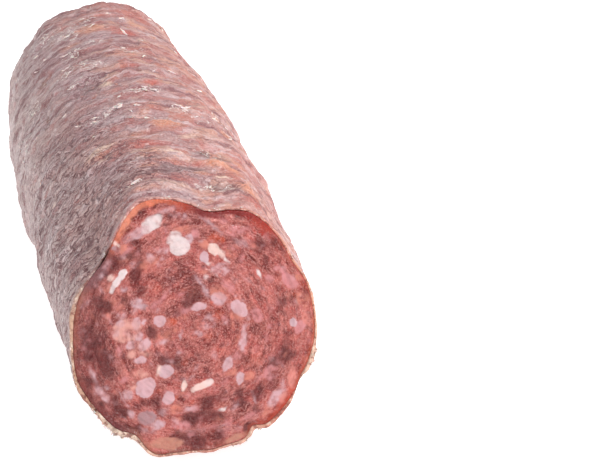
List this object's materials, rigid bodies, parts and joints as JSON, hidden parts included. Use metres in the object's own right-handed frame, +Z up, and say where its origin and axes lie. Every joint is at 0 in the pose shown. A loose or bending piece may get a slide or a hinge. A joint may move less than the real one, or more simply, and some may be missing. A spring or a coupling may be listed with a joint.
{
  "type": "cured sausage",
  "caption": "Cured sausage log, cut across at one end and rounded at the other, with a dried casing over a coarse filling of meat and fat.",
  "frame": {"origin": "middle of the footprint, on the surface that the sausage lies on", "axes": "+Z up, +Y along the sausage from the cut end to the closed end, +X to the right seen from the cut end"},
  "size_m": [0.0662, 0.1892, 0.0648],
  "materials": {
    "casing": "dry, matt to satin, wrinkled",
    "meat": "moist satin, lean with white fat grains"
  },
  "bodies": {
    "root": {"casing": "casing", "meat": "meat"}
  },
  "joints": []
}
